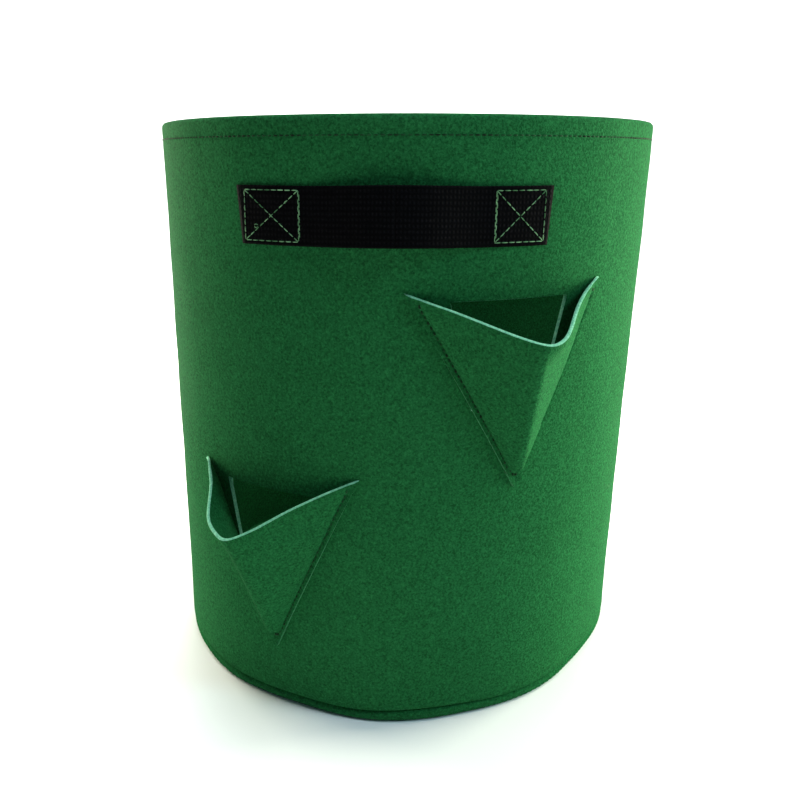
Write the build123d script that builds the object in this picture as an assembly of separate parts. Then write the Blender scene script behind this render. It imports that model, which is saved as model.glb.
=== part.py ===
from build123d import *
import math
import os

# A felt grow bag: a tube of needled felt with a hemmed rim, closed by a felt base. Four planting
# pockets are sewn over windows in its wall, and a webbing carry handle is sewn to each side.
# Millimetres and degrees. The front faces -Y, +Z is up, and the origin is on the bag's axis, on
# the surface that it stands on. Angles round the bag are counted from the front, towards +X.

# The felt, and the bag that it makes
WALL_R = 158.0              # outside radius of the wall
BAG_HEIGHT = 350.0          # from the floor to the top of the folded rim
FELT = 3.0                  # thickness of the felt

# Hem and seams
FOLD_GAP = 0.5              # air left inside the rim's fold
HEM_DEPTH = 20.0            # the rim is turned down inside by this much
HEM_STITCH_DROP = 10.0      # from the rim down to the hem's stitching
SEAM_Z = 7.0                # height of the crease where wall and base meet
SEAM_ALLOWANCE = 10.0       # felt turned into the bag past a seam
BASE_INSET = 0.5            # the base's rolled edge stands this far inside the wall's face
SIDE_SEAM_ANGLE = 250.0     # the wall's one upright seam, at the back on the left
SIDE_SEAM_ALLOWANCE = 8.0   # how far the strip's two turned-in ends stand into the bag
SIDE_SEAM_GROOVE = 2.0      # depth and half width of the crease that the side seam leaves outside

# Pockets: a triangle of felt, point down, sewn along two sides and standing proud in a fold
POCKET_HALF_WIDTH = 57.6    # half the width of the triangle's top
POCKET_DROP = 114.0         # from its top corners down to its point
POCKET_NOSE = 35.0          # the fold's top stands this far off the wall
POCKET_NOSE_DROP = 24.5     # and this far below the top corners
POCKET_FLAT = 6.0           # sewn-down edge of the triangle, measured across the bag
POCKET_TIP_ROUND = 0.16     # how round the fold is, as a share of the free half width
LAY_GAP = 0.15              # air between the sewn-down edge and the wall

# Each pocket on the front: angle round the bag, height of its top corners, how far its point
# leans to the right, and how far its window starts below the corners
POCKETS = {
    "upper": (21.1, 264.6, 7.0, 6.0),
    "lower": (-28.5, 157.3, 0.5, 11.0),
}

# The window in the wall behind each pocket, wide at the top
WINDOW_TOP_WIDTH = 69.0
WINDOW_BOTTOM_WIDTH = 40.0
WINDOW_DEPTH = 60.0
WINDOW_CORNER_R = 8.0

# Carry handles: flat webbing with a sewn tab at each end and a free span between them
HANDLE_ANGLE = -2.1         # middle of the free span
HANDLE_Z = 301.0            # middle of the webbing's width
WEBBING_WIDTH = 30.0
WEBBING = 1.5               # thickness of the webbing
WEBBING_GAP = 0.3           # air between the webbing and the wall
SPAN_HALF = 48.6            # half the free span, straight across
SPAN_SLACK = 9.0            # the middle of the span stands this far off the wall
TAB_LEFT_END = -82.6        # cut end of the left tab, straight across from the middle
TAB_RIGHT_END = 78.4        # cut end of the right tab
TAB_CUT = 0.2               # half of the clearance between a tab and the span

# Sewing thread, drawn as plain raised beads
THREAD = 0.9                # width of a bead
THREAD_LIFT = 0.6           # height of a bead
THREAD_GAP = 0.02           # air under a bead
TAB_STITCH_MARGIN = 2.2     # box stitching inside the webbing's edges
POCKET_STITCH_MARGIN = 3.6  # pocket stitching inside the triangle's edges, across the bag

# The back repeats the front, turned half round the bag
SIDES = {"front": 0.0, "rear": 180.0}


def wall_y(x, radius=WALL_R):
    """How far out the round wall is, straight ahead of a point x to the right of the middle."""
    return math.sqrt(radius**2 - x**2)


def ring(radius, z, width, height):
    """A flat bead round the whole bag, its inside at radius and its underside at z."""
    outer = Cylinder(radius + width, height, align=(Align.CENTER, Align.CENTER, Align.MIN))
    inner = Cylinder(radius, height, align=(Align.CENTER, Align.CENTER, Align.MIN))
    return Pos(0, 0, z) * (outer - inner)


def front_prism(sketch, near, far):
    """A sketch seen from the front, x to the right and y up, run outwards from near to far."""
    facing_front = Plane(origin=(0, -near, 0), x_dir=(1, 0, 0), z_dir=(0, -1, 0))
    return extrude(facing_front * sketch, far - near)


def bead_on_wall(sketch, radius):
    """A sketch seen from the front, laid as thread on a round surface of this radius."""
    shell = ring(radius + THREAD_GAP, 0, THREAD_LIFT, BAG_HEIGHT)
    return front_prism(sketch, 0, WALL_R + POCKET_NOSE) & shell


# ---- Wall: one strip of felt, hemmed at the rim and turned in at the bottom seam ----

def wall_tube():
    inside = WALL_R - FELT
    fold_r = FELT + FOLD_GAP / 2
    fold_z = BAG_HEIGHT - fold_r
    hem_inside = WALL_R - 2 * fold_r
    hem_end = BAG_HEIGHT - HEM_DEPTH
    bend_z = SEAM_Z + FELT
    turned_in = inside - SEAM_ALLOWANCE
    outline = (
        Line((WALL_R, bend_z), (WALL_R, fold_z))
        + JernArc((WALL_R, fold_z), (0, 1), fold_r, 180)
        + Polyline(
            (hem_inside, fold_z),
            (hem_inside, hem_end),
            (hem_inside + FELT, hem_end),
            (hem_inside + FELT, fold_z),
            (inside, fold_z),
            (inside, bend_z),
            (turned_in, bend_z),
            (turned_in, SEAM_Z),
            (inside, SEAM_Z),
        )
        + JernArc((inside, SEAM_Z), (1, 0), FELT, 90)
    )
    return revolve(make_face(Plane.XZ * outline), Axis.Z)


def side_seam():
    """The two turned-in edges of the strip, standing into the bag, and the crease outside."""
    fin_top = BAG_HEIGHT - HEM_DEPTH
    fin_z = SEAM_Z + FELT
    fin_depth = SIDE_SEAM_ALLOWANCE + FELT / 2
    fin = Pos(0, -(WALL_R - FELT / 2 - fin_depth / 2), (fin_z + fin_top) / 2) * Box(
        2 * FELT, fin_depth, fin_top - fin_z
    )
    groove_sketch = Polygon(
        (-SIDE_SEAM_GROOVE, -WALL_R - 1),
        (SIDE_SEAM_GROOVE, -WALL_R - 1),
        (0, -WALL_R + SIDE_SEAM_GROOVE),
        align=None,
    )
    groove = extrude(Pos(0, 0, fin_z) * groove_sketch, fin_top - fin_z)
    turn = Rot(0, 0, SIDE_SEAM_ANGLE)
    return turn * fin, turn * groove


def window(top_z):
    """The hole in the wall behind a pocket, as a cutter at the front of the bag."""
    half_top = WINDOW_TOP_WIDTH / 2
    half_bottom = WINDOW_BOTTOM_WIDTH / 2
    shape = Polygon(
        (-half_top, top_z),
        (-half_bottom, top_z - WINDOW_DEPTH),
        (half_bottom, top_z - WINDOW_DEPTH),
        (half_top, top_z),
        align=None,
    )
    shape = fillet(shape.vertices(), WINDOW_CORNER_R)
    return front_prism(shape, WALL_R - 4 * FELT, WALL_R + FELT)


def wall_panel():
    fin, groove = side_seam()
    wall = wall_tube() + fin - groove
    for side_angle in SIDES.values():
        for angle, corner_z, _, window_drop in POCKETS.values():
            wall -= Rot(0, 0, side_angle + angle) * window(corner_z - window_drop)
    return wall


# ---- Base: a felt disc whose edge rolls up and is turned in under the wall's ----

def base_panel():
    roll_r = SEAM_Z / 2
    roll_x = WALL_R - BASE_INSET - roll_r
    turned_in = WALL_R - FELT - SEAM_ALLOWANCE
    outline = (
        Line((0, 0), (roll_x, 0))
        + JernArc((roll_x, 0), (1, 0), roll_r, 180)
        + Polyline(
            (roll_x, SEAM_Z),
            (turned_in, SEAM_Z),
            (turned_in, SEAM_Z - FELT),
            (roll_x, SEAM_Z - FELT),
            (roll_x, FELT),
            (0, FELT),
            (0, 0),
        )
    )
    return revolve(make_face(Plane.XZ * outline), Axis.Z)


# ---- Pockets ----

def pocket_lift(x, share):
    """How far the felt stands off the wall, x from the pocket's middle line, at a share of the
    way up from where the fold begins to the top corners."""
    free_half = (POCKET_HALF_WIDTH - POCKET_FLAT) * share
    if share <= 0 or abs(x) >= free_half:
        return 0.0
    foot_y = wall_y(free_half)
    chord = WALL_R - wall_y(POCKET_HALF_WIDTH - POCKET_FLAT)
    nose_y = WALL_R + POCKET_NOSE * share + chord * share * (1 - share)
    rounded = math.hypot(x / free_half, POCKET_TIP_ROUND) - POCKET_TIP_ROUND
    full = math.hypot(1, POCKET_TIP_ROUND) - POCKET_TIP_ROUND
    flank_y = nose_y + (foot_y - nose_y) * rounded / full
    return max(0.0, flank_y - wall_y(x))


def on_round(x, stand_off):
    """The point this far off the wall, straight out from the wall's point at x."""
    scale = (WALL_R + stand_off) / WALL_R
    return x * scale, -wall_y(x) * scale


def pocket_section(level, lean):
    """The felt cut level at a share of the pocket's height above its point: a sewn-down edge, the
    fold, and the other sewn-down edge."""
    middle = lean * (1 - level)
    edge = POCKET_HALF_WIDTH * level
    foot = max(edge - POCKET_FLAT, edge / 5)
    fold_start = POCKET_FLAT / POCKET_HALF_WIDTH
    share = (level - fold_start) / (1 - fold_start)
    step = 0.05

    def inside(x):
        flat_x, flat_y = on_round(x, LAY_GAP)
        return flat_x, flat_y - pocket_lift(x - middle, share)

    def outside(x):
        x0, y0 = inside(x - step)
        x1, y1 = inside(x + step)
        along = math.hypot(x1 - x0, y1 - y0)
        here_x, here_y = inside(x)
        return here_x + FELT * (y1 - y0) / along, here_y - FELT * (x1 - x0) / along

    def sewn_edge(from_x, to_x, stand_off):
        return ThreePointArc([on_round(x, stand_off) for x in (from_x, (from_x + to_x) / 2, to_x)])

    left, left_foot = middle - edge, middle - foot
    right, right_foot = middle + edge, middle + foot
    across = [middle + foot * place for place in (-0.8, -0.5, -0.2, 0, 0.2, 0.5, 0.8)]
    face = LAY_GAP + FELT
    inner_fold = [inside(left_foot)] + [inside(x) for x in across] + [inside(right_foot)]
    outer_fold = [on_round(left_foot, face)] + [outside(x) for x in across]
    outer_fold.append(on_round(right_foot, face))
    outline = (
        sewn_edge(left, left_foot, LAY_GAP)
        + Spline(inner_fold)
        + sewn_edge(right_foot, right, LAY_GAP)
        + Line(on_round(right, LAY_GAP), on_round(right, face))
        + sewn_edge(right, right_foot, face)
        + Spline(outer_fold[::-1])
        + sewn_edge(left_foot, left, face)
        + Line(on_round(left, face), on_round(left, LAY_GAP))
    )
    return Pos(0, 0, POCKET_DROP * level) * make_face(outline)


def pocket(corner_z, lean):
    fold_start = POCKET_FLAT / POCKET_HALF_WIDTH
    levels = (fold_start / 2, fold_start, 0.2, 0.4, 0.6, 0.8, 1.0)
    cone = loft([pocket_section(level, lean) for level in levels], ruled=True)
    cone = Pos(0, 0, corner_z - POCKET_DROP) * cone
    reach = WALL_R + POCKET_NOSE - wall_y(POCKET_HALF_WIDTH)
    mouth = Plane(
        origin=(0, -wall_y(POCKET_HALF_WIDTH), corner_z),
        x_dir=(1, 0, 0),
        z_dir=(0, -POCKET_NOSE_DROP, reach),
    )
    return split(cone, bisect_by=mouth, keep=Keep.BOTTOM)


def pocket_stitch_line(corner_z, lean):
    """The V of thread that holds a pocket's two sides."""
    top_x = POCKET_HALF_WIDTH - POCKET_STITCH_MARGIN
    rise = POCKET_DROP / POCKET_HALF_WIDTH
    point_x = lean * top_x / POCKET_HALF_WIDTH
    point_z = corner_z - POCKET_DROP + POCKET_STITCH_MARGIN * rise
    top_z = corner_z - THREAD
    v_shape = Polygon(
        (-top_x, top_z),
        (point_x, point_z),
        (top_x, top_z),
        (top_x - THREAD, top_z),
        (point_x, point_z + THREAD * rise),
        (-top_x + THREAD, top_z),
        align=None,
    )
    return bead_on_wall(v_shape, WALL_R + LAY_GAP + FELT)


# ---- Handles ----

def handle_tab(end_x):
    """A sewn end of the webbing, from its cut end to where the free span starts."""
    start_x = math.copysign(SPAN_HALF + TAB_CUT, end_x)
    shell = ring(WALL_R + WEBBING_GAP, HANDLE_Z - WEBBING_WIDTH / 2, WEBBING, WEBBING_WIDTH)
    slab = Pos((start_x + end_x) / 2, -WALL_R, HANDLE_Z) * Box(
        abs(end_x - start_x), WALL_R, WEBBING_WIDTH
    )
    return shell & slab


def handle_span():
    """The free span, bowed off the wall, which swings up in the hand."""
    half = SPAN_HALF - TAB_CUT
    inner = []
    outer = []
    for across in (-1, -0.75, -0.5, -0.25, 0, 0.25, 0.5, 0.75, 1):
        x = half * across
        bow = SPAN_SLACK * math.cos(across * math.pi / 2) ** 2
        inner.append((x, -wall_y(x) - WEBBING_GAP - bow))
        outer.append((x, inner[-1][1] - WEBBING))
    outline = (
        Spline(inner) + Line(inner[-1], outer[-1]) + Spline(outer[::-1]) + Line(outer[0], inner[0])
    )
    return extrude(Pos(0, 0, HANDLE_Z - WEBBING_WIDTH / 2) * make_face(outline), WEBBING_WIDTH)


def tab_stitching(end_x):
    """Thread round the edge of a tab and corner to corner across it."""
    outer_x = end_x - math.copysign(TAB_STITCH_MARGIN, end_x)
    inner_x = math.copysign(SPAN_HALF + TAB_CUT + THREAD, end_x)
    width = abs(outer_x - inner_x)
    height = WEBBING_WIDTH - 2 * TAB_STITCH_MARGIN
    diagonal = math.hypot(width, height) - THREAD
    tilt = math.degrees(math.atan2(height, width))
    frame = Rectangle(width, height) - Rectangle(width - 2 * THREAD, height - 2 * THREAD)
    cross = Rot(0, 0, tilt) * Rectangle(diagonal, THREAD)
    cross += Rot(0, 0, -tilt) * Rectangle(diagonal, THREAD)
    sketch = Pos((outer_x + inner_x) / 2, HANDLE_Z) * (frame + cross)
    return bead_on_wall(sketch, WALL_R + WEBBING_GAP + WEBBING)


# ---- Threads of the hem and seams ----

def rim_hem_thread():
    """The hem's row of stitches, seen outside on the wall and inside on the turned-down felt."""
    z = BAG_HEIGHT - HEM_STITCH_DROP - THREAD / 2
    hem_inside = WALL_R - 2 * FELT - FOLD_GAP
    outside = ring(WALL_R + THREAD_GAP, z, THREAD_LIFT, THREAD)
    inside = ring(hem_inside - THREAD_GAP - THREAD_LIFT, z, THREAD_LIFT, THREAD)
    return Compound([outside.solid(), inside.solid()])


def base_seam_thread():
    """Stitches through the two turned-in edges, seen from above inside the bag. They stop short
    of the side seam, which stands on them."""
    middle = WALL_R - FELT - SEAM_ALLOWANCE / 2
    row = ring(middle - THREAD / 2, SEAM_Z + FELT + THREAD_GAP, THREAD, THREAD_LIFT)
    stop = Pos(0, -middle, SEAM_Z + 2 * FELT) * Box(4 * FELT, SEAM_ALLOWANCE, 2 * FELT)
    return row - Rot(0, 0, SIDE_SEAM_ANGLE) * stop


def side_seam_thread():
    """Stitches through the two standing edges of the side seam."""
    low = SEAM_Z + 2 * FELT
    high = BAG_HEIGHT - HEM_DEPTH - FELT
    bead = Box(THREAD_LIFT, THREAD, high - low)
    across = FELT + THREAD_GAP + THREAD_LIFT / 2
    outwards = WALL_R - FELT - SIDE_SEAM_ALLOWANCE / 2
    return Rot(0, 0, SIDE_SEAM_ANGLE) * Pos(across, -outwards, (low + high) / 2) * bead


# ---- Everything, one file for each piece ----

pieces = {
    "wall_panel": wall_panel(),
    "base_panel": base_panel(),
    "rim_hem_thread": rim_hem_thread(),
    "base_seam_thread": base_seam_thread(),
    "side_seam_thread": side_seam_thread(),
}
for side, side_angle in SIDES.items():
    for level, (angle, corner_z, lean, _) in POCKETS.items():
        turn = Rot(0, 0, side_angle + angle)
        pieces[f"pocket_{level}_{side}"] = turn * pocket(corner_z, lean)
        pieces[f"pocket_thread_{level}_{side}"] = turn * pocket_stitch_line(corner_z, lean)
    turn = Rot(0, 0, side_angle + HANDLE_ANGLE)
    pieces[f"handle_span_{side}"] = turn * handle_span()
    for end, end_x in {"left": TAB_LEFT_END, "right": TAB_RIGHT_END}.items():
        pieces[f"handle_tab_{end}_{side}"] = turn * handle_tab(end_x)
        pieces[f"handle_thread_{end}_{side}"] = turn * tab_stitching(end_x)

os.makedirs("parts", exist_ok=True)
for name, piece in pieces.items():
    export_step(piece, f"parts/{name}.step")
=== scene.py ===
import math
import random

import bpy
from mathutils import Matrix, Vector, geometry, kdtree, noise


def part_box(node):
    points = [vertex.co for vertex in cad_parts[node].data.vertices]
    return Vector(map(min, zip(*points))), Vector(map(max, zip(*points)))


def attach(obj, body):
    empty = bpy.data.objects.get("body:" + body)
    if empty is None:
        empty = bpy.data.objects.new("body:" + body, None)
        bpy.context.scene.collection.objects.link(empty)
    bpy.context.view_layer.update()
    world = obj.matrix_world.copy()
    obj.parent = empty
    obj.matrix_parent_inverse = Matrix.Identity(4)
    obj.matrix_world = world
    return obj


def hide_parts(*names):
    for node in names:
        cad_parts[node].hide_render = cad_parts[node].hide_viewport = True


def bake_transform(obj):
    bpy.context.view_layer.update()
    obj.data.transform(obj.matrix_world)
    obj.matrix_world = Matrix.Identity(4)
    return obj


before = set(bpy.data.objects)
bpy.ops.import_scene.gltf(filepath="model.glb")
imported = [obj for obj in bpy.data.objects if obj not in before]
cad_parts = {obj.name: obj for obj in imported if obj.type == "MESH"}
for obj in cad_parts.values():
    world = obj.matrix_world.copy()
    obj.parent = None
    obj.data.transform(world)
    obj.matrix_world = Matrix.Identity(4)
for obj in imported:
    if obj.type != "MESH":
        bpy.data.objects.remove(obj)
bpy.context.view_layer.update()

# ---- Camera ----
# It stands a little higher than the handle and looks down on the front of the bag.
MM = 0.001
CAMERA_DISTANCE = 553.1
CAMERA_HEIGHT = 329.2
CAMERA_PITCH = 17.27
CAMERA_LENS = 35.0
camera_data = bpy.data.cameras.new("camera")
camera_data.lens = CAMERA_LENS
camera_data.sensor_width = 36.0
camera_data.clip_start = 0.01
camera = bpy.data.objects.new("camera", camera_data)
bpy.context.collection.objects.link(camera)
camera.location = (0, -CAMERA_DISTANCE * MM, CAMERA_HEIGHT * MM)
camera.rotation_euler = (math.radians(90 - CAMERA_PITCH), 0, 0)
bpy.context.scene.camera = camera

# ---- Felt ----
# Needle-punched felt of recycled polyester: short fibres tangled by barbed needles. It looks
# mottled and matt, with a fine fuzz that catches light at grazing angles, and no weave.
FELT_GREEN = "#1f5f34"
# The dark green is painted shade in the gaps between tufts, the light one painted highlight on their
# tips
FELT_GAP_SHADE = "#144726"
FELT_TIP_HIGHLIGHT = "#2b7943"
FELT_FUZZ = "#4fae5c"
FIBRE_CLUMP = 0.65         # mm across one tuft of fibres
FIBRE = 0.5                # mm, drawn coarser than a real fibre so that it shows
PATCH = 45.0               # mm across one of the faint darker and paler patches


def linear(hex_colour):
    """An sRGB hex colour as linear red, green, blue and a full alpha."""
    channels = [int(hex_colour[i:i + 2], 16) / 255 for i in (1, 3, 5)]
    return [c / 12.92 if c <= 0.04045 else ((c + 0.055) / 1.055) ** 2.4 for c in channels] + [1.0]


def add(material, kind, inputs=None, **settings):
    """Adds a node with its settings, and gives each named input a value or another node's output."""
    tree = material.node_tree
    node = tree.nodes.new(kind)
    for key, value in settings.items():
        setattr(node, key, value)
    for key, value in (inputs or {}).items():
        if isinstance(value, bpy.types.NodeSocket):
            tree.links.new(value, node.inputs[key])
        else:
            node.inputs[key].default_value = value
    return node


def new_material(name):
    """An empty node material with its output and one glossy-diffuse shader, ready for colours."""
    material = bpy.data.materials.new(name)
    material.use_nodes = True
    material.node_tree.nodes.clear()
    shader = add(material, "ShaderNodeBsdfPrincipled")
    add(material, "ShaderNodeOutputMaterial", {"Surface": shader.outputs["BSDF"]})
    return material, shader


def per_metre(size):
    """The scale that makes one feature of a texture as wide as size, in millimetres."""
    return 1 / (size * MM)


def felt_material(name, dark, middle, light, fuzz, fuzz_weight):
    """Felt in three greens set by the tufts' height: painted shade in the gaps between them, painted
    highlight on their tips, under a thin fuzz.
    """
    material, shader = new_material(name)
    link = material.node_tree.links.new
    place = add(material, "ShaderNodeTexCoord").outputs["Object"]
    clumps = add(material, "ShaderNodeTexNoise",
                 {"Vector": place, "Scale": per_metre(FIBRE_CLUMP * 2), "Detail": 3.0,
                  "Roughness": 0.6, "Distortion": 0.6})
    patches = add(material, "ShaderNodeTexNoise",
                  {"Vector": place, "Scale": per_metre(PATCH), "Detail": 2.0, "Roughness": 0.5})
    fibres = add(material, "ShaderNodeTexNoise",
                 {"Vector": place, "Scale": per_metre(FIBRE * 2), "Detail": 2.0,
                  "Roughness": 0.7, "Distortion": 1.8})
    # The tufts' height sets the colour as it sets the bump: painted shade low down, painted highlight
    # on top
    ramp = add(material, "ShaderNodeValToRGB", {"Fac": clumps.outputs["Fac"]})
    ramp.color_ramp.elements[0].position = 0.32
    ramp.color_ramp.elements[0].color = linear(dark)
    ramp.color_ramp.elements[1].position = 0.72
    ramp.color_ramp.elements[1].color = linear(light)
    centre = ramp.color_ramp.elements.new(0.5)
    centre.color = linear(middle)
    tint = add(material, "ShaderNodeMix", {"Factor": patches.outputs["Fac"]}, data_type="RGBA",
               blend_type="MULTIPLY")
    tint.inputs["B"].default_value = (0.84, 0.88, 0.84, 1.0)
    link(ramp.outputs["Color"], tint.inputs["A"])
    link(tint.outputs["Result"], shader.inputs["Base Color"])
    rough = add(material, "ShaderNodeMapRange",
                {"Value": fibres.outputs["Fac"], "To Min": 0.82, "To Max": 1.0})
    link(rough.outputs["Result"], shader.inputs["Roughness"])
    fine = add(material, "ShaderNodeBump",
               {"Height": fibres.outputs["Fac"], "Strength": 0.55, "Distance": 0.35 * MM})
    tufts = add(material, "ShaderNodeBump",
                {"Height": clumps.outputs["Fac"], "Strength": 0.6, "Distance": 0.8 * MM,
                 "Normal": fine.outputs["Normal"]})
    link(tufts.outputs["Normal"], shader.inputs["Normal"])
    shader.inputs["IOR"].default_value = 1.5
    shader.inputs["Specular IOR Level"].default_value = 0.02
    shader.inputs["Sheen Weight"].default_value = fuzz_weight
    shader.inputs["Sheen Roughness"].default_value = 0.5
    shader.inputs["Sheen Tint"].default_value = linear(fuzz)
    return material


felt = felt_material("needle_punched_felt", FELT_GAP_SHADE, FELT_GREEN, FELT_TIP_HIGHLIGHT, FELT_FUZZ, 0.02)
# Where the felt is cut, loose fibre ends soften the edge; its pale green is partly those ends, partly
# painted highlight.
cut_edge_fuzz_and_highlight = felt_material("cut_felt_edge_and_highlight", "#5da585", "#7cc4a0", "#9cdcba", "#c5ecd2", 0.2)
# Pressed down along a seam, a cut edge is only a little paler than the face: partly its cut fibre ends,
# partly painted highlight.
pressed_edge_and_highlight = felt_material("pressed_felt_edge_and_highlight", "#266c3e", "#348250", "#489a66", "#a8e0b8", 0.15)

# ---- Wall ----
# One strip of soft felt, joined to itself at the back on the left by an upright seam. Its rim is
# turned in and hemmed, its foot is turned in and sewn to the base, and each pocket has a window.
SHEET = 2.4                 # thickness of the felt
WALL_RADIUS = 158.0
MIDDLE_RADIUS = WALL_RADIUS - SHEET / 2
RIM_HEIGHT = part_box("wall_panel")[1][2] / MM
FOLD_RADIUS = 1.75          # of the middle of the felt, round the rim's fold
HEM_DEPTH = 20.0
HEM_STITCH_HEIGHT = RIM_HEIGHT - 10.0
HEM_PITCH = 3.3             # length of one hem stitch with its gap
HEM_PULL_REACH = 1.9        # how far from the hem's stitches the felt is pulled thin
SEAM_HEIGHT = 7.0           # of the seam that joins the wall's foot to the base
FOOT_RADIUS = 1.6           # of the middle of the felt, where the wall turns in to the seam
SEAM_ALLOWANCE = 10.0
SIDE_SEAM_ANGLE = 250.0
SIDE_ALLOWANCE = 8.0        # how far the strip's ends are turned in there
CREASE_RADIUS = 2.0         # of the felt's middle, where it turns in
CREASE_HALF_GAP = 1.6       # half of what stands open between the two ends
FIN_FOOT = 24.0             # the ends are turned in fully from this height
FIN_TOP = RIM_HEIGHT - 36.0   # up to this one
FIN_FADE = 14.0             # and lie flat again this much below and above
WINDOW_TOP = 70.0
WINDOW_FOOT = 42.0
WINDOW_DEPTH = 60.0
WINDOW_ROUND = 1.5
SPACING = 4.0               # between the points of a felt mesh
POCKET_ANGLE = {"upper": 21.1, "lower": -28.5}    # from the middle of a side, to the right
POCKET_CORNER = {"upper": 264.6, "lower": 157.3}  # height of the top corners
WINDOW_DROP = {"upper": 6.0, "lower": 11.0}   # from a pocket's corners to its window's top edge
SIDES = {"front": 0.0, "rear": 180.0}
LEAN_AT_FOOT = -2.4         # the bag stands this much to the right at its foot
LEAN_GAIN = 7.2             # and this much more at its rim
RUMPLED = 55.0              # the foot is rumpled up to this height


def stand(point):
    """Where a point of the straight bag, in mm, comes to be as it stands: it leans a little, and
    its wall and foot take soft waves. Every piece goes through here, so all stay together."""
    x, y, z = point
    height = min(max(z / RIM_HEIGHT, 0), 1)
    turn = math.atan2(x, -y)
    radius = math.hypot(x, y)
    share = min(radius / WALL_RADIUS, 1)
    wave = 0.9 * noise.noise(Vector((x / 70, y / 70, z / 90)))
    wave += 0.35 * noise.noise(Vector((x / 24, y / 24, z / 30 + 7)))
    foot = max(0.0, 1 - z / RUMPLED) ** 2
    wave += foot * (1.3 * math.sin(5 * turn + 0.6) + 0.9 * math.sin(9 * turn + 2.1) - 0.6)
    lift = foot * share ** 8 * (0.8 + 0.9 * math.sin(6 * turn + 1.0) + 0.5 * math.sin(11 * turn))
    grow = 1 + wave * share ** 2 / max(radius, 1.0)
    lean = LEAN_AT_FOOT + LEAN_GAIN * height
    return Vector(((x * grow + lean) * MM, y * grow * MM, (z + max(lift, 0) * min(z / 4, 1)) * MM))


def polar(radius, degrees, z):
    """A point at a radius from the bag's axis, at an angle from the front towards the right."""
    turn = math.radians(degrees)
    return Vector((radius * math.sin(turn), -radius * math.cos(turn), z))


def walk(runs, distance):
    """A point and its outward side, that far along a section made of lines and arcs. Each run is
    (length, radius, height, heading, radius of bend); a bend turns left for a positive radius."""
    for run in runs:
        length, radius, height, heading, bend = run
        if distance <= length or run is runs[-1]:
            break
        distance -= length
    if bend:
        turn = heading + distance / bend
        radius += bend * (math.sin(turn) - math.sin(heading))
        height -= bend * (math.cos(turn) - math.cos(heading))
    else:
        turn = heading
        radius += distance * math.cos(turn)
        height += distance * math.sin(turn)
    return radius, height, math.sin(turn), -math.cos(turn)


QUARTER = math.pi / 2
flange_height = SEAM_HEIGHT + SHEET / 2
flange_run = SEAM_ALLOWANCE
foot_run = FOOT_RADIUS * QUARTER
rise_start = flange_height + FOOT_RADIUS
rise_end = RIM_HEIGHT - SHEET / 2 - FOLD_RADIUS
wall_runs = [
    (flange_run, MIDDLE_RADIUS - FOOT_RADIUS - flange_run, flange_height, 0.0, 0.0),
    (foot_run, MIDDLE_RADIUS - FOOT_RADIUS, flange_height, 0.0, FOOT_RADIUS),
    (rise_end - rise_start, MIDDLE_RADIUS, rise_start, QUARTER, 0.0),
    (FOLD_RADIUS * math.pi, MIDDLE_RADIUS, rise_end, QUARTER, FOLD_RADIUS),
    (HEM_DEPTH - SHEET / 2 - FOLD_RADIUS, MIDDLE_RADIUS - 2 * FOLD_RADIUS, rise_end, -QUARTER, 0.0),
]
strip_length = sum(run[0] for run in wall_runs)
strip_width = 2 * math.pi * MIDDLE_RADIUS
climb_start = flange_run + foot_run - rise_start   # add a height on the wall to get a distance
fold_run = FOLD_RADIUS * math.pi
inner_hem_row = 2 * rise_end + fold_run - HEM_STITCH_HEIGHT   # the same stitches, past the fold


def encloses(loop, u, v):
    """Whether a flat outline holds a point."""
    odd = False
    for (u1, v1), (u2, v2) in zip(loop, loop[1:] + loop[:1]):
        if (v1 > v) != (v2 > v) and u < u1 + (u2 - u1) * (v - v1) / (v2 - v1):
            odd = not odd
    return odd


def spaced(loop, spacing):
    """The points of a flat outline, with more between them at about this spacing."""
    points = []
    for start, end in zip(loop, loop[1:] + loop[:1]):
        steps = max(1, round(math.dist(start, end) / spacing))
        points += [(start[0] + (end[0] - start[0]) * i / steps,
                    start[1] + (end[1] - start[1]) * i / steps) for i in range(steps)]
    return points


def filling(outline, fixed, spacing):
    """Rows of points over an outline's whole extent, except close to a fixed point."""
    tree = kdtree.KDTree(len(fixed))
    for i, (u, v) in enumerate(fixed):
        tree.insert((u, v, 0), i)
    tree.balance()
    low_u, high_u = min(p[0] for p in outline), max(p[0] for p in outline)
    low_v, high_v = min(p[1] for p in outline), max(p[1] for p in outline)
    row_gap = spacing * 0.866
    points = []
    for row in range(1, int((high_v - low_v) / row_gap) + 1):
        v = low_v + row * row_gap
        for column in range(int((high_u - low_u) / spacing) + 1):
            u = low_u + (column + 0.5 * (row % 2)) * spacing
            if tree.find((u, v, 0))[2] > spacing * 0.6:
                points.append((u, v))
    return points


def triangles(outline, holes, spacing, extra):
    """A flat sheet cut to an outline with holes: its points and its faces."""
    loops = [spaced(loop, spacing) for loop in [outline] + list(holes)]
    fixed = [p for loop in loops for p in loop] + list(extra)
    points = fixed + filling(outline, fixed, spacing)
    edges = []
    first = 0
    for loop in loops:
        edges += [(first + i, first + (i + 1) % len(loop)) for i in range(len(loop))]
        first += len(loop)
    flat, _, faces, _, _, _ = geometry.delaunay_2d_cdt(
        [Vector(p) for p in points], edges, [], 0, 1e-5)
    centres = [sum((flat[i] for i in face), Vector((0, 0))) / len(face) for face in faces]
    faces = [face for face, spot in zip(faces, centres)
             if encloses(outline, *spot) and not any(encloses(hole, *spot) for hole in holes)]
    used = sorted({i for face in faces for i in face})
    index = {old: new for new, old in enumerate(used)}
    return [flat[i] for i in used], [[index[i] for i in face] for face in faces]


def new_piece(name, verts, faces):
    """An object with a smooth-shaded mesh."""
    mesh = bpy.data.meshes.new(name)
    mesh.from_pydata(verts, [], faces)
    mesh.update()
    mesh.polygons.foreach_set("use_smooth", [True] * len(mesh.polygons))
    piece = bpy.data.objects.new(name, mesh)
    bpy.context.collection.objects.link(piece)
    return piece


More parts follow.
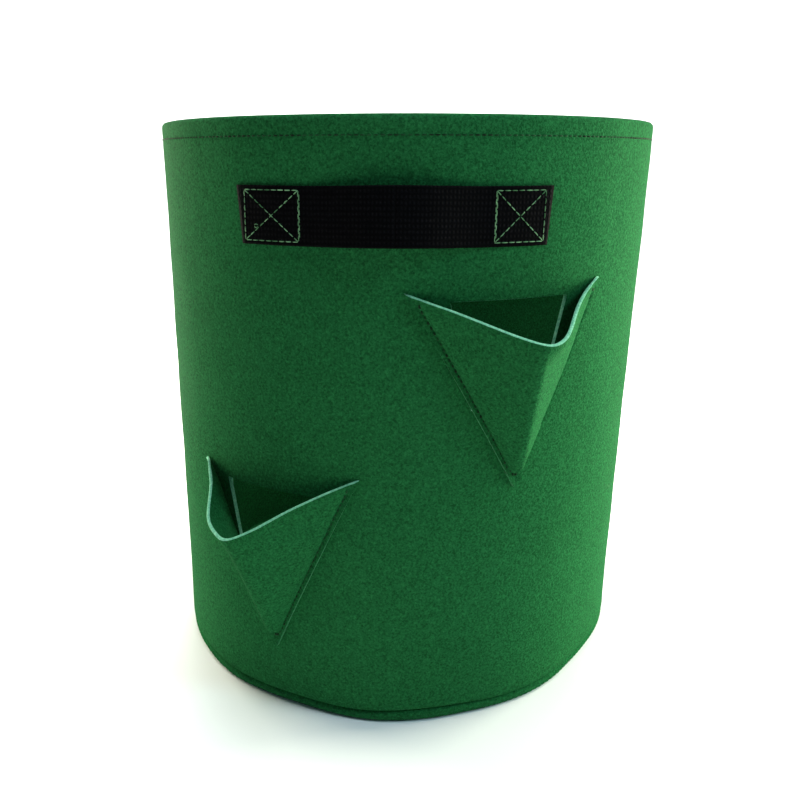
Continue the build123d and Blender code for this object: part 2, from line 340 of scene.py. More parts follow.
def cut_sheet(name, outline, holes, spacing, place, extra, pressed=None, bevel=0.12):
    """Cuts felt to an outline with holes, all in mm on the flat, and lays it in space with
    place(u, v, w), where w runs through its thickness. Cut edges are the mesh's second material, and
    stand out by the bevel, a share of the thickness. Where pressed(u, v), they are its third."""
    flat, faces = triangles(outline, holes, spacing, extra)
    count = len(flat)
    borders = {}
    for face in faces:
        for a, b in zip(face, face[1:] + face[:1]):
            borders[(a, b)] = (b, a) not in borders
            if (b, a) in borders:
                borders[(b, a)] = False
    borders = [edge for edge, single in borders.items() if single]
    push = {}
    for a, b in borders:
        along = (flat[b] - flat[a]).normalized()
        for end in (a, b):
            push[end] = push.get(end, Vector((0, 0))) + Vector((along.y, -along.x))
    verts = [stand(place(p.x, p.y, w)) for w in (SHEET / 2, -SHEET / 2) for p in flat]
    middles = {}
    for i, side in push.items():
        out = flat[i] + side.normalized() * SHEET * bevel
        middles[i] = len(verts)
        verts.append(stand(place(out.x, out.y, 0)))
    polygons = [list(face) for face in faces] + [[i + count for i in reversed(face)] for face in faces]
    edge_faces = []
    for a, b in borders:
        edge_faces.append([b, a, middles[a], middles[b]])
        edge_faces.append([middles[b], middles[a], a + count, b + count])
    piece = new_piece(name, verts, polygons + edge_faces)
    edge_kinds = [2 if pressed and pressed(*((flat[a] + flat[b]) / 2)) else 1
                  for a, b in borders for _ in range(2)]
    piece.data.polygons.foreach_set("material_index", [0] * len(polygons) + edge_kinds)
    sharp = {frozenset((a + layer, b + layer)) for layer in (0, count) for a, b in borders}
    for edge in piece.data.edges:
        edge.use_edge_sharp = frozenset(edge.vertices) in sharp
    return piece


def flat_size(outline, holes=()):
    """The area of the cut cloth, in square metres."""
    def area(loop):
        return abs(sum(a[0] * b[1] - b[0] * a[1] for a, b in zip(loop, loop[1:] + loop[:1]))) / 2
    return (area(outline) - sum(area(hole) for hole in holes)) * MM * MM


def window_outline(side_angle, name):
    """The rounded trapezoid of a window, on the flat strip, where u counts from the side seam."""
    angle = (side_angle + POCKET_ANGLE[name] - SIDE_SEAM_ANGLE) % 360
    middle = math.radians(angle) * MIDDLE_RADIUS
    top = POCKET_CORNER[name] - WINDOW_DROP[name] + climb_start
    corners = [(-WINDOW_FOOT / 2, -WINDOW_DEPTH), (WINDOW_FOOT / 2, -WINDOW_DEPTH),
               (WINDOW_TOP / 2, 0.0), (-WINDOW_TOP / 2, 0.0)]
    outline = []
    for before, corner, after in zip(corners[-1:] + corners[:-1], corners, corners[1:] + corners[:1]):
        here, back, on = Vector(corner), Vector(before) - Vector(corner), Vector(after) - Vector(corner)
        half_turn = back.angle(on) / 2
        reach = WINDOW_ROUND / math.tan(half_turn)
        start, end = here + back.normalized() * reach, here + on.normalized() * reach
        for step in range(5):
            share = step / 4
            point = start * (1 - share) ** 2 + here * 2 * share * (1 - share) + end * share ** 2
            outline.append((middle + point.x, top + point.y))
    return outline


def smooth(low, high, value):
    """A soft step, from 0 at the low value to 1 at the high one."""
    share = min(max((value - low) / (high - low), 0), 1)
    return share * share * (3 - 2 * share)


def wall_place(u, v, w):
    """A point of the flat strip, laid round the bag, with its two ends turned in at the side seam."""
    radius, height, out, up = walk(wall_runs, v)
    climbing = v - climb_start
    near_hem = sum(math.exp(-((climbing - row) / HEM_PULL_REACH) ** 2)
                   for row in (HEM_STITCH_HEIGHT, inner_hem_row))
    pulled = 0.28 + 0.1 * math.cos(2 * math.pi * u / HEM_PITCH)
    w *= 1 - pulled * near_hem
    away = min(u, strip_width - u)
    side = 1 if u < strip_width / 2 else -1
    turned = smooth(FIN_FOOT - FIN_FADE, FIN_FOOT, climbing)
    turned *= 1 - smooth(FIN_TOP, FIN_TOP + FIN_FADE, climbing)
    bend_start = CREASE_HALF_GAP + CREASE_RADIUS
    over = max(0.0, bend_start - away)
    turn = min(over / CREASE_RADIUS, QUARTER)
    beyond = max(0.0, over - CREASE_RADIUS * QUARTER)
    across = max(away, bend_start) - CREASE_RADIUS * math.sin(turn)
    depth = CREASE_RADIUS * (1 - math.cos(turn)) + beyond
    across = away * (1 - turned) + across * turned
    depth *= turned
    turn *= turned
    facing = w * out * math.cos(turn)
    sideways = -w * out * math.sin(turn)
    degrees = SIDE_SEAM_ANGLE + side * math.degrees(across / MIDDLE_RADIUS)
    point = polar(radius + facing - depth, degrees, height + w * up)
    tangent = polar(1.0, degrees + 90 * side, 0)
    return point + tangent * sideways


# What each end needs past the strip's width, for the turn and the part that lies inward
fin = SIDE_ALLOWANCE - SHEET / 2 - CREASE_RADIUS + CREASE_RADIUS * QUARTER
fin -= CREASE_HALF_GAP + CREASE_RADIUS
fin_low = FIN_FOOT + climb_start
fin_high = FIN_TOP + climb_start
wall_outline = [
    (0.0, 0.0), (strip_width, 0.0), (strip_width, fin_low - 3), (strip_width + fin, fin_low),
    (strip_width + fin, fin_high), (strip_width, fin_high + 3), (strip_width, strip_length),
    (0.0, strip_length), (0.0, fin_high + 3), (-fin, fin_high), (-fin, fin_low), (0.0, fin_low - 3)]
windows = [window_outline(turn, name) for turn in SIDES.values() for name in POCKET_ANGLE]
stitch_v = HEM_STITCH_HEIGHT + climb_start
hem_v = inner_hem_row + climb_start
fold_v = rise_end + climb_start
along_strip = [SPACING * i for i in range(1, int(strip_width / SPACING))]
# More points where the felt is pulled thin along the hem, then round the rim's fold, round the
# turn at the foot and beside the turned-in ends
rows = [(HEM_PITCH / 2 * i, row + offset)
        for row in (stitch_v, hem_v) for offset in (-3.2, -1.6, 0, 1.6, 3.2)
        for i in range(1, int(strip_width / HEM_PITCH * 2) - 1)]
rows += [(u, fold_v + fold_run * step / 6) for step in range(7) for u in along_strip]
rows += [(u, flange_run + foot_run * step / 4) for step in range(5) for u in along_strip]
rows += [(start + step * 1.2 * side, fin_low + 5 + SPACING * i)
         for start, side in ((0.0, 1), (strip_width, -1)) for step in range(1, 6)
         for i in range(int((fin_high - fin_low - 8) / SPACING))]
wall = cut_sheet("felt_wall", wall_outline, windows, SPACING, wall_place, rows)
wall.data.materials.append(felt)
wall.data.materials.append(cut_edge_fuzz_and_highlight)
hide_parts("wall_panel")
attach(wall, "root")
flat_size(wall_outline, windows)

# ---- Base ----
# A disc of the same felt. Its edge rolls up and back in, and is sewn to the foot of the wall.
BASE_ROLL = (SEAM_HEIGHT - SHEET) / 2   # radius of the felt's middle, where the edge rolls up
BASE_INSET = 0.5            # the roll stands this much inside the wall
base_flat = MIDDLE_RADIUS - BASE_INSET - BASE_ROLL
base_runs = [
    (base_flat, 0.0, SHEET / 2, 0.0, 0.0),
    (BASE_ROLL * math.pi, base_flat, SHEET / 2, 0.0, BASE_ROLL),
    (base_flat - (MIDDLE_RADIUS - FOOT_RADIUS - flange_run), base_flat, SHEET / 2 + 2 * BASE_ROLL,
     math.pi, 0.0),
]
base_radius = sum(run[0] for run in base_runs)


def base_place(u, v, w):
    """A point of the flat disc, with its edge rolled up and back in. None is below the floor."""
    distance = math.hypot(u, v)
    radius, height, out, up = walk(base_runs, min(distance, base_radius + 0.4))
    return polar(max(radius + w * out, 0), math.degrees(math.atan2(u, -v)), max(height + w * up, 0.0))


def ring(radius):
    """A circle of points round the middle of the disc."""
    count = round(2 * math.pi * radius / SPACING)
    return [(radius * math.sin(2 * math.pi * i / count), -radius * math.cos(2 * math.pi * i / count))
            for i in range(count)]


base_rings = [p for step in range(9) for p in ring(base_flat + BASE_ROLL * math.pi * step / 8)]
base_outline = ring(base_radius)
base = cut_sheet("felt_base", base_outline, [], 1.5 * SPACING, base_place, base_rings)
base.data.materials.append(felt)
base.data.materials.append(cut_edge_fuzz_and_highlight)
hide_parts("base_panel")
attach(base, "root")
flat_size(base_outline)

# ---- Felt thread ----
# Bonded polyester sewing thread in the felt's own green, darker and paler in random stretches.
# It is drawn as one short bead for each stitch, with its ends pulled down into the felt.
THREAD = 0.9                # mm across a stitch
TWIST = 0.8                 # mm along the thread for one turn of its twist
UNEVEN_STRETCH = 9.0                # mm across a darker or paler stretch
STITCH_RINGS = 5
STITCH_SIDES = 6
BASE_PITCH = 3.8            # of the stitches in the seams at the foot and the side
ROW_END = 3.0               # a row round the bag stops this far from the strip's ends


def thread_material(name, dark, light):
    """Twisted thread, uneven in colour from one stitch to the next."""
    material, shader = new_material(name)
    link = material.node_tree.links.new
    place = add(material, "ShaderNodeTexCoord").outputs["Object"]
    twist = add(material, "ShaderNodeTexNoise",
                {"Vector": place, "Scale": per_metre(TWIST), "Detail": 2.0})
    uneven = add(material, "ShaderNodeTexNoise",
                 {"Vector": place, "Scale": per_metre(UNEVEN_STRETCH), "Detail": 1.0})
    ramp = add(material, "ShaderNodeValToRGB", {"Fac": uneven.outputs["Fac"]})
    ramp.color_ramp.elements[0].position = 0.35
    ramp.color_ramp.elements[0].color = linear(dark)
    ramp.color_ramp.elements[1].position = 0.65
    ramp.color_ramp.elements[1].color = linear(light)
    link(ramp.outputs["Color"], shader.inputs["Base Color"])
    bump = add(material, "ShaderNodeBump",
               {"Height": twist.outputs["Fac"], "Strength": 0.5, "Distance": 0.2 * MM})
    link(bump.outputs["Normal"], shader.inputs["Normal"])
    shader.inputs["Roughness"].default_value = 0.7
    shader.inputs["IOR"].default_value = 1.57
    shader.inputs["Specular IOR Level"].default_value = 0.12
    return material


dark_thread = thread_material("polyester_thread_dark_green", "#06200d", "#144a26")
pale_thread = thread_material("polyester_thread_pale_green", "#3f6e45", "#7caa7c")
wander = random.Random(11)


def sew(name, routes, pitch, width, material, slot, *nodes):
    """Makes the stitches of one seam. A route is (length, function): the function gives the point
    and the outward side at a distance along the seam, in mm. There is one stitch to a pitch, and
    its length, place and thickness vary a little."""
    verts, faces = [], []
    for length, trace in routes:
        count = max(1, round(length / pitch))
        for stitch in range(count):
            start = (stitch + 0.1 + 0.06 * wander.random()) * length / count
            span = (0.74 + 0.1 * wander.random()) * length / count
            fat = width * (0.42 + 0.12 * wander.random())
            first = len(verts)
            for step in range(STITCH_RINGS):
                share = step / (STITCH_RINGS - 1)
                here, out = trace(start + span * share)
                ahead, _ = trace(start + span * share + 0.2)
                along = (ahead - here).normalized()
                side = along.cross(out).normalized()
                bulge = math.sin(math.pi * (0.08 + 0.84 * share))
                centre = here + out * fat * (1.15 * bulge - 0.75)
                for corner in range(STITCH_SIDES):
                    turn = 2 * math.pi / STITCH_SIDES * corner
                    outward = side * math.cos(turn) + out * math.sin(turn)
                    verts.append(stand(centre + outward * fat * (0.45 + 0.55 * bulge)))
            last = len(verts) - STITCH_SIDES
            for ring_start in range(first, last, STITCH_SIDES):
                for corner in range(STITCH_SIDES):
                    a = ring_start + corner
                    b = ring_start + (corner + 1) % STITCH_SIDES
                    faces.append([a, b, b + STITCH_SIDES, a + STITCH_SIDES])
            faces.append([first + corner for corner in reversed(range(STITCH_SIDES))])
            faces.append([last + corner for corner in range(STITCH_SIDES)])
    piece = new_piece(name, verts, faces)
    piece.data.materials.append(material)
    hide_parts(*nodes)
    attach(piece, "root")


def wall_row(v, side):
    """A row of stitches round the bag, on the wall strip's outer face for a side of 1 and on its
    inner face for -1, clear of its two ends."""
    def trace(distance):
        here = wall_place(ROW_END + distance, v, side * SHEET / 2)
        beside = wall_place(ROW_END + distance, v, -side * SHEET / 2)
        return here, (here - beside).normalized()
    return (strip_width - 2 * ROW_END, trace)


sew("hem_stitches", [wall_row(stitch_v, 1), wall_row(hem_v, 1)], HEM_PITCH, THREAD,
    dark_thread, "felt_thread", "rim_hem_thread")
sew("base_seam_stitches", [wall_row(flange_run / 2, -1)], BASE_PITCH, THREAD,
    dark_thread, "felt_thread", "base_seam_thread")


SEAM_ROW_INSET = 2.5        # from the cut ends to the row
SEAM_ROW_END = 4.0          # from the ends' corners to its first and last stitch


def seam_face(distance):
    """The upright row through both turned-in ends of the strip."""
    v = fin_low + SEAM_ROW_END + distance
    here = wall_place(-fin + SEAM_ROW_INSET, v, -SHEET / 2)
    beside = wall_place(-fin + SEAM_ROW_INSET, v, SHEET / 2)
    return here, (here - beside).normalized()


sew("side_seam_stitches", [(fin_high - fin_low - 2 * SEAM_ROW_END, seam_face)], BASE_PITCH, THREAD,
    dark_thread, "felt_thread", "side_seam_thread")

# ---- Pockets ----
# Triangles of the same felt, point down. Two sides are sewn to the wall round a window and the
# free top stands away in a fold, like a jug's lip. The cut top edge is pale, partly painted highlight.
POCKET_DROP = 114.0         # from the top corners down to the point
NOSE_DROP = 24.5            # the mouth falls this much
MOUTH_REACH = 45.9          # over this distance outward
SIDE_LENGTHWAYS = 0.8925    # a distance across the bag, measured square to a pocket's side
SIDE_STEEPNESS = 1.12       # and a distance along that side, for one straight up
TIP = 0.4                   # no point of its mesh is worked out closer to the tip than this
STITCH_MARGIN = 3.6
POCKET_PITCH = 3.3          # length of one of its stitches with its gap
LAY_GAP = 0.15
POINT_LEAN = {"upper": 7.0, "lower": 3.0}    # its point is this much to the right of its middle
POCKET_HALF = {"upper": 57.6, "lower": 54.4}   # half of its width between the top corners
POCKET_TILT = {"upper": 1.4, "lower": 3.0}   # its right corner is this much above its middle
NOSE = {"upper": 41.8, "lower": 48.2}        # the fold's stand-off, if it ran up to the corners
# The curve of each mouth from its left corner to its right one: share of the half width across,
# and share of the fold's stand-off
MOUTH = {
    "upper": [(-1.0, 0.0), (-0.65, 0.33), (-0.2, 0.82), (0.06, 1.0), (0.28, 0.88), (0.63, 0.37),
              (0.8, 0.17), (1.0, 0.0)],
    "lower": [(-1.0, 0.0), (-0.78, 0.26), (-0.52, 0.72), (-0.3, 0.93), (-0.08, 1.0), (0.18, 0.81),
              (0.47, 0.46), (0.77, 0.17), (1.0, 0.0)],
}
CREST = {"upper": -0.03, "lower": -0.06}      # where the crease runs, below the mouth
CREST_TURN = {"upper": 0.0, "lower": 0.35}    # and how far it bears right towards the point
CREASE_SOFTNESS = {"upper": 0.035, "lower": 0.09}
FOLD_START = 0.09           # the point is flat up to here, as a share of the drop
BLUNT_TIP = 0.13            # and the fold starts with this share of its full stand-off
CURL_START = 0.67           # from here up the fold takes the shape of the mouth
CURL_END = 0.82


def wall_y(x):
    """How far out the wall is, that far to the side of the middle of a pocket or handle."""
    return math.sqrt(max(WALL_RADIUS ** 2 - x * x, 0.0))


def through(points, t):
    """The height at t of a smooth curve through a few points (t, height)."""
    t = min(max(t, points[0][0]), points[-1][0])
    i = max(k for k in range(len(points) - 1) if points[k][0] <= t)
    (t0, p0), (t1, p1) = points[i], points[i + 1]

    def steepness(k):
        before, after = points[max(k - 1, 0)], points[min(k + 1, len(points) - 1)]
        return (after[1] - before[1]) / (after[0] - before[0])

    run = t1 - t0
    share = (t - t0) / run
    return (p0 + (p1 - p0) * smooth(t0, t1, t) + run * steepness(i) * share * (1 - share) ** 2
            - run * steepness(i + 1) * share ** 2 * (1 - share))


def pocket_skin(name, across, level):
    """The inner face of a pocket, in its own frame: x across, y outward, z up. across runs from
    -1 to 1 between the sides, and level from 0 at the point to 1 at the top corners."""
    half = POCKET_HALF[name] * level
    share = max((level - FOLD_START) / (1 - FOLD_START), 0.0)
    x = POINT_LEAN[name] * (1 - level) + across * half
    foot_y = wall_y(half)
    crest_y = WALL_RADIUS + NOSE[name] * (BLUNT_TIP + (1 - BLUNT_TIP) * share)
    crest = CREST[name] + CREST_TURN[name] * (1 - level) ** 2
    slack = abs(across - crest) / (1 + crest if across < crest else 1 - crest)
    soft = CREASE_SOFTNESS[name]
    creased = 1 - (math.hypot(slack, soft) - soft) / (1 - soft)
    curled = smooth(CURL_START, CURL_END, level)
    fold = through(MOUTH[name], across) * curled + creased * (1 - curled)
    rise = foot_y + fold * (crest_y - foot_y) - wall_y(x)
    # Close to its sewn sides it lies on the wall, in a narrower strip near the top corners.
    margin = (1 - abs(across)) * half * SIDE_LENGTHWAYS
    sewn = 1 - smooth(0.86, 0.99, level)
    lift = (rise + math.hypot(rise, 1.2)) / 2 * smooth(0.2 + 2.4 * sewn, 3.4 + 3.0 * sewn, margin)
    lift *= smooth(0.0, 0.035, share)
    height = POCKET_CORNER[name] - POCKET_DROP * (1 - level) + POCKET_TILT[name] * across * level
    return Vector((x, wall_y(x) + LAY_GAP + lift, height))


mouth_start_y = wall_y(POCKET_HALF["upper"])
mouth_levels = {}           # worked out once for each place across


def mouth_level(name, across):
    """How far up the pocket its mouth cuts it, at a place across. The mouth falls outward, so the
    level and the stand-off there depend on each other, and a few rounds settle them."""
    key = (name, round(across, 4))
    if key not in mouth_levels:
        level = 1.0
        for _ in range(12):
            here = pocket_skin(name, across, level)
            drop = NOSE_DROP * (here.y - mouth_start_y) / MOUTH_REACH
            level = 0.5 * level + 0.5 * (1 - max(drop, 0.0) / POCKET_DROP)
        mouth_levels[key] = level
    return mouth_levels[key]


def pocket_point(name, u, v):
    """The inner face at a point of the triangle between the three corners: u across, v up from
    the point. The mesh is laid out on this triangle, which is narrower than the real cut."""
    share = max(v, TIP) / POCKET_DROP
    across = max(-1.0, min(1.0, u / (POCKET_HALF[name] * share)))
    return pocket_skin(name, across, share * mouth_level(name, across))


def turn_to(point, degrees):
    """From a pocket's or handle's own frame to the bag's."""
    turn = math.radians(degrees)
    return Vector((point.x * math.cos(turn) + point.y * math.sin(turn),
                   point.x * math.sin(turn) - point.y * math.cos(turn), point.z))


def pocket_place(name, degrees):
    """The function that lays a pocket's felt, for one angle round the bag."""
    def place(u, v, w):
        here = pocket_point(name, u, v)
        right = pocket_point(name, u + 0.8, v) - pocket_point(name, u - 0.8, v)
        above = pocket_point(name, u, v + 0.8) - pocket_point(name, u, v - 0.8)
        out = above.cross(right).normalized()
        if out.y < 0:
            out = -out
        margin = (POCKET_HALF[name] * max(v, TIP) / POCKET_DROP - abs(u)) * SIDE_LENGTHWAYS
        holes = 0.75 + 0.25 * math.cos(2 * math.pi * v * SIDE_STEEPNESS / POCKET_PITCH)
        pulled = 0.5 * holes * math.exp(-((margin - STITCH_MARGIN) / 1.3) ** 2)
        thinned = 0.22 * math.exp(-(POCKET_DROP - v) / 1.2)
        thick = (SHEET / 2 + w) * (1 - pulled - thinned)
        return turn_to(here + out * max(thick, 0.0), degrees)
    return place


def side_row(side, place, slope):
    """The row of stitches along one sewn side of a pocket, left for -1 and right for 1."""
    low = (STITCH_MARGIN / SIDE_LENGTHWAYS + 0.3) / slope
    length = (POCKET_DROP - 2.5 - low) * math.hypot(1, slope)

    def trace(distance):
        v = low + distance / math.hypot(1, slope)
        u = side * (slope * v - STITCH_MARGIN / SIDE_LENGTHWAYS)
        here, beside = place(u, v, SHEET / 2), place(u, v, -SHEET / 2)
        return here, (here - beside).normalized()
    return (length, trace)


def off_mouth(_, v):
    """Whether a place on a pocket's edge is on a sewn side, and not on its mouth."""
    return v < POCKET_DROP - 0.5


for side_name, side_angle in SIDES.items():
    for name, angle in POCKET_ANGLE.items():
        place = pocket_place(name, side_angle + angle)
        half_width = POCKET_HALF[name]
        slope = half_width / POCKET_DROP
        outline = [(0.0, 0.0), (half_width, POCKET_DROP), (-half_width, POCKET_DROP)]
        # More points beside the stitches and along the crease
        rows = [(side * (slope * v - offset / SIDE_LENGTHWAYS), v) for side in (1, -1)
                for offset in (1.6, 2.6, 3.6, 4.6, 5.6)
                for v in [20 + POCKET_PITCH / (2 * SIDE_STEEPNESS) * i for i in range(62)]]
        rows += [(CREST[name] * slope * v + offset, v) for offset in (-3.0, -1.5, 0, 1.5, 3.0)
                 for v in [16 + 1.8 * i for i in range(54)] if abs(offset) < slope * v - 7]
        pocket = cut_sheet(f"felt_pocket_{name}_{side_name}", outline, [], 2.6, place, rows,
                           pressed=off_mouth, bevel=0.3)
        for finish in (felt, cut_edge_fuzz_and_highlight, pressed_edge_and_highlight):
            pocket.data.materials.append(finish)
        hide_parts(f"pocket_{name}_{side_name}")
        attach(pocket, "root")
        sew(f"pocket_stitches_{name}_{side_name}",
            [side_row(side, place, slope) for side in (-1, 1)], POCKET_PITCH, THREAD * 1.5,
            dark_thread, "felt_thread", f"pocket_thread_{name}_{side_name}")

# ---- Handles ----
# Flat polypropylene webbing, 30 mm wide, woven with fine ribs and a denser selvedge. Each end is
# sewn to the wall with a box and a cross, and the free middle bows out a little.
WEBBING_WIDTH = 30.0
WEBBING = 1.5               # thickness
HANDLE_HEIGHT = 301.0
HANDLE_ANGLE = -2.1
TAB_ENDS = {"left": -82.6, "right": 78.4}
TAB_SKEW = {"left": 1.3, "right": -0.9}     # each end is cut off askew by this much at its edges
TAB_GAP = 0.3               # between the wall and the webbing sewn to it
SPAN_HALF = 48.6            # half of the free span
SPAN_SLACK = 8.0            # it stands this much away from the wall
SPAN_RISE = 0.9             # and arches up this much
SPAN_TILT = 0.12            # its lower edge stands out by this share more, its upper edge less
SPAN_BEND = 22.0            # a point on the span is worked out this far from its middle, and not used
RIB = 2.766                 # mm from rib to rib along the webbing, drawn coarse so that it shows
PICK = 1.976                # mm from one crossing thread to the next
WORN_PATCH = 8.333          # mm across a blacker or greyer patch
BANDS = math.pi / 10        # the distance from band to band of a wave texture at a scale of 1
TAB_MARGIN = 2.2            # from the webbing's edges to the stitched box
BOX_PITCH = 3.6
LOOP_LENGTH = 6.4           # of the thread in a slack loop

webbing, shader = new_material("woven_polypropylene_webbing")
link = webbing.node_tree.links.new
cloth = add(webbing, "ShaderNodeUVMap").outputs["UV"]   # in mm on the flat webbing
ribs = add(webbing, "ShaderNodeTexWave",
           {"Vector": cloth, "Scale": BANDS / RIB, "Distortion": 0.6, "Detail": 1.0},
           wave_type="BANDS", bands_direction="Y")
picks = add(webbing, "ShaderNodeTexWave",
            {"Vector": cloth, "Scale": BANDS / PICK, "Distortion": 1.2, "Detail": 1.0},
            wave_type="BANDS", bands_direction="X")
weave = add(webbing, "ShaderNodeMath", {0: ribs.outputs["Fac"], 1: picks.outputs["Fac"]},
            operation="MULTIPLY")
worn = add(webbing, "ShaderNodeTexNoise", {"Vector": cloth, "Scale": 1 / WORN_PATCH, "Detail": 3.0})
# Darker in the weave's valleys and lighter on its ribs: painted shade and painted highlight; the
# blacker and greyer patches are wear
groove_shade_and_wear = add(webbing, "ShaderNodeMath", {0: weave.outputs["Value"], 1: worn.outputs["Fac"]},
            operation="MULTIPLY")
black = add(webbing, "ShaderNodeValToRGB", {"Fac": groove_shade_and_wear.outputs["Value"]})
black.color_ramp.elements[0].color = linear("#040405")
black.color_ramp.elements[1].color = linear("#151417")
link(black.outputs["Color"], shader.inputs["Base Color"])
weave_bump = add(webbing, "ShaderNodeBump",
                 {"Height": weave.outputs["Value"], "Strength": 0.6, "Distance": 0.4 * MM})
link(weave_bump.outputs["Normal"], shader.inputs["Normal"])
shader.inputs["Roughness"].default_value = 0.8
shader.inputs["Specular IOR Level"].default_value = 0.03


def bowed(x):
    """From 0 in the sewn boxes to 1 at the middle of the free span."""
    return math.cos(math.pi * x / (2 * SPAN_HALF)) ** 2 if abs(x) < SPAN_HALF else 0.0


def handle_face(x, z, out):
    """A point of a handle in its own frame, that far out from the webbing's inner face."""
    def inner(across):
        edge = (z - HANDLE_HEIGHT) / (WEBBING_WIDTH / 2)
        return wall_y(across) + TAB_GAP + SPAN_SLACK * bowed(across) * (1 - SPAN_TILT * edge)

    slope_here = inner(x + 0.5) - inner(x - 0.5)
    normal = Vector((-slope_here, 1.0, 0.0)).normalized()
    return Vector((x, inner(x), z + SPAN_RISE * bowed(x))) + normal * out


# Across the webbing: a place, and its thickness there as a share. A fine groove marks off the
# selvedge at each edge.
section = [(-15.0, 0.45), (-14.7, 0.85), (-13.9, 1.0), (-12.9, 1.0), (-12.4, 0.72), (-11.9, 1.0)]
section += [(z, 1.0) for z in (-9.0, -6.0, -3.0, 0.0, 3.0, 6.0, 9.0)]
section += [(-z, fat) for z, fat in reversed(section[:6])]


def strap(name, end_name, degrees):
    """Half a handle, from its sewn end to the middle of the span, as a closed woven band."""
    start = TAB_ENDS[end_name]
    steps = round(abs(start) / 1.5)
    outline = section + [(z, -fat) for z, fat in reversed(section)]
    verts, faces, cloth_points = [], [], []
    for step in range(steps + 1):
        for z, fat in outline:
            askew = TAB_SKEW[end_name] * z / (WEBBING_WIDTH / 2) * (1 - smooth(0, 0.3, step / steps))
            x = start - start * step / steps - askew
            melted = 0.75 if step == 0 else 1.0
            face = handle_face(x, HANDLE_HEIGHT + z, WEBBING / 2 * (1 + fat * melted))
            verts.append(stand(turn_to(face, degrees)))
            cloth_points.append((x, z))
    around = len(outline)
    last = steps * around
    for ring_start in range(0, last, around):
        for i in range(around):
            a, b = ring_start + i, ring_start + (i + 1) % around
            faces.append([a, b, b + around, a + around])
    faces.append(list(reversed(range(around))))
    faces.append(list(range(last, last + around)))
    if start > 0:
        faces = [face[::-1] for face in faces]
    piece = new_piece(name, verts, faces)
    for end_face in piece.data.polygons[-2:]:
        end_face.use_smooth = False
    layer = piece.data.uv_layers.new(name="cloth")
    for loop in piece.data.loops:
        layer.data[loop.index].uv = cloth_points[loop.vertex_index]
    piece.data.materials.append(webbing)
    return piece


def straight(start, end, degrees):
    """A stitched line on the face of a handle's sewn end, between two points (x, height)."""
    length = math.dist(start, end)

    def trace(distance):
        share = distance / length
        x, z = start[0] + (end[0] - start[0]) * share, start[1] + (end[1] - start[1]) * share
        here = turn_to(handle_face(x, z, WEBBING + 0.05), degrees)
        beside = turn_to(handle_face(x, z, 0.0), degrees)
        return here, (here - beside).normalized()
    return (length, trace)


def thread_loop(x, z, degrees):
    """A slack loop of thread that stands up from the face, where the sewing skipped."""
    def trace(distance):
        turn = 2 * math.pi * distance / LOOP_LENGTH
        spot = (x - 1.1 * math.cos(turn), z + 0.9 * math.sin(turn))
        here = turn_to(handle_face(*spot, WEBBING + 0.5), degrees)
        beside = turn_to(handle_face(*spot, 0.0), degrees)
        return here, (here - beside).normalized()
    return (LOOP_LENGTH, trace)


for side_name, side_angle in SIDES.items():
    degrees = side_angle + HANDLE_ANGLE
    for end_name, tab_end in TAB_ENDS.items():
        inward = 1 if tab_end < 0 else -1
        half = strap(f"strap_{end_name}_{side_name}", end_name, degrees)
        nodes = [f"handle_tab_{end_name}_{side_name}"]
        if end_name == "left":
            nodes.append(f"handle_span_{side_name}")
        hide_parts(*nodes)
        still = stand(turn_to(handle_face(-inward * SPAN_HALF, HANDLE_HEIGHT, 0), degrees))
        swung = stand(turn_to(handle_face(-inward * SPAN_BEND, HANDLE_HEIGHT, 0), degrees))
        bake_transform(half)
        # A box with a cross, one side of it sewn twice
        outer = tab_end + inward * (TAB_MARGIN + 1.2)
        inner = -inward * (SPAN_HALF + 0.8)
        low = HANDLE_HEIGHT - WEBBING_WIDTH / 2 + TAB_MARGIN
        high = HANDLE_HEIGHT + WEBBING_WIDTH / 2 - TAB_MARGIN
        ends = [((outer, low), (inner, low)), ((inner, high), (outer, high)),
                ((outer, high), (outer, low)), ((inner, low), (inner, high)),
                ((inner + 0.5, high - 1.5), (inner + 0.5, low + 1.8)),
                ((outer, low), (inner, high)), ((inner, low), (outer, high))]
        lines = [straight(start, end, degrees) for start, end in ends]
        if (end_name, side_name) == ("left", "front"):
            lines.append(thread_loop(outer + 6.6, low + 7.4, degrees))
        sew(f"handle_stitches_{end_name}_{side_name}", lines, BOX_PITCH, THREAD * 0.62, pale_thread,
            "webbing_thread", f"handle_thread_{end_name}_{side_name}")

# ---- Floor, backdrop and lights ----
# A pale floor that curves up behind the bag. Two large soft lights stand behind it, the right one
# the stronger. Small ones overhead and high on the right draw the rim, and the front has a weak
# fill and what the floor throws back.
paper, shader = new_material("matt_white_paper")
grain = add(paper, "ShaderNodeTexNoise", {"Scale": 400.0, "Detail": 2.0})
paper_bump = add(paper, "ShaderNodeBump",
                 {"Height": grain.outputs["Fac"], "Strength": 0.05, "Distance": 0.1 * MM})
paper.node_tree.links.new(paper_bump.outputs["Normal"], shader.inputs["Normal"])
shader.inputs["Base Color"].default_value = (0.9, 0.9, 0.9, 1)
shader.inputs["Roughness"].default_value = 0.9
SWEEP_FRONT = -1.6          # metres from here on
SWEEP_REAR = 1.4            # where the floor starts to curve up
SWEEP_BEND = 0.6
SWEEP_TOP = 2.6
SWEEP_HALF_WIDTH = 3.0
sweep_side = [(SWEEP_FRONT, 0.0), (SWEEP_REAR, 0.0)]
for degrees in range(6, 91, 6):
    turn = math.radians(degrees)
    sweep_side.append((SWEEP_REAR + SWEEP_BEND * math.sin(turn), SWEEP_BEND * (1 - math.cos(turn))))
sweep_side.append((SWEEP_REAR + SWEEP_BEND, SWEEP_TOP))
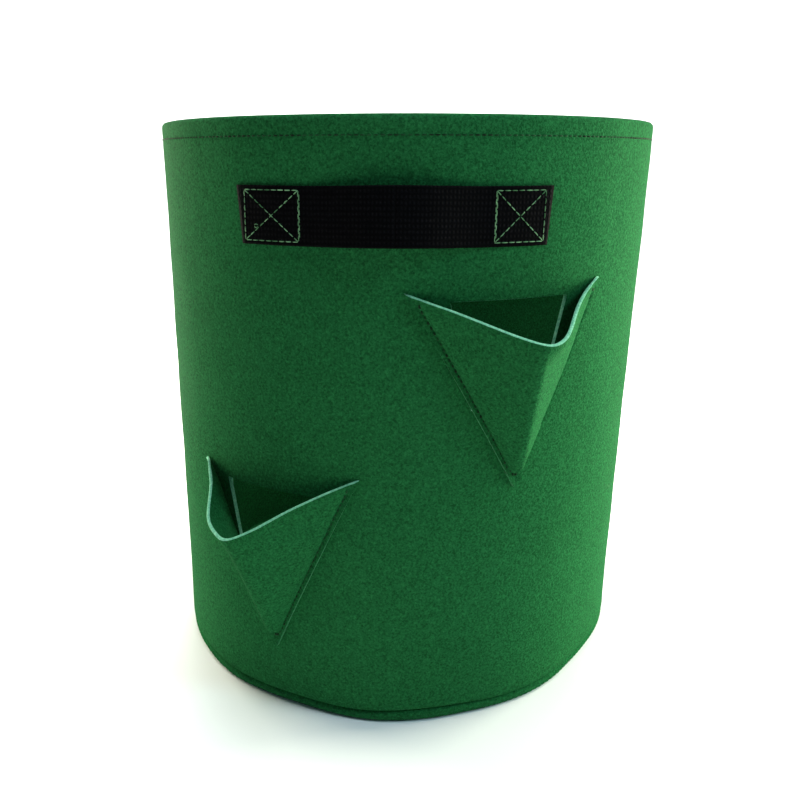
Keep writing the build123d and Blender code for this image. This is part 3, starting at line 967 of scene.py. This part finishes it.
sweep = new_piece("studio_sweep",
                  [(x, y, z) for y, z in sweep_side for x in (-SWEEP_HALF_WIDTH, SWEEP_HALF_WIDTH)],
                  [[i, i + 1, i + 3, i + 2] for i in range(0, 2 * len(sweep_side) - 2, 2)])
sweep.data.materials.append(paper)


def soft_light(name, degrees, distance, height, size, watts, colour, aim=(0, 0, 0.17)):
    """A square soft light, at an angle round the bag, that faces a point."""
    data = bpy.data.lights.new(name, "AREA")
    data.size = size
    data.energy = watts
    data.color = linear(colour)[:3]
    light = bpy.data.objects.new(name, data)
    light.location = polar(distance, degrees, height)
    light.rotation_euler = (Vector(aim) - light.location).to_track_quat("-Z", "Y").to_euler()
    bpy.context.collection.objects.link(light)


soft_light("right_rear_light", 108, 1.25, 0.42, 0.75, 40.0, "#fffde4")
soft_light("right_high_light", 60, 1.2, 1.1, 0.4, 8.0, "#c4f0ff")
soft_light("left_rear_light", -122, 1.25, 0.42, 0.75, 32.0, "#fffde4")
soft_light("top_light", 0, 0.12, 1.45, 0.7, 12.0, "#f6fbff")
soft_light("backdrop_light", 180, 0.9, 1.7, 1.0, 60.0, "#ffffff", aim=(0, 2.0, 0.3))
soft_light("front_fill", -20, 1.7, 0.5, 1.2, 1.0, "#b8d8ff")
world = bpy.data.worlds.new("studio")
world.use_nodes = True
dim_room = world.node_tree.nodes["Background"]
dim_room.inputs["Color"].default_value = (0.62, 0.92, 1.0, 1)
dim_room.inputs["Strength"].default_value = 0.07
# Beyond the sweep one sees pale paper, but hardly any light comes from there.
pale_room = add(world, "ShaderNodeBackground", {"Color": (0.86, 0.87, 0.87, 1), "Strength": 1.0})
seen = add(world, "ShaderNodeLightPath").outputs["Is Camera Ray"]
room = add(world, "ShaderNodeMixShader", {0: seen, 1: dim_room.outputs[0], 2: pale_room.outputs[0]})
world.node_tree.links.new(room.outputs[0], world.node_tree.nodes["World Output"].inputs["Surface"])
bpy.context.scene.world = world
bpy.context.scene.view_settings.view_transform = "Standard"
bpy.context.scene.view_settings.look = "None"
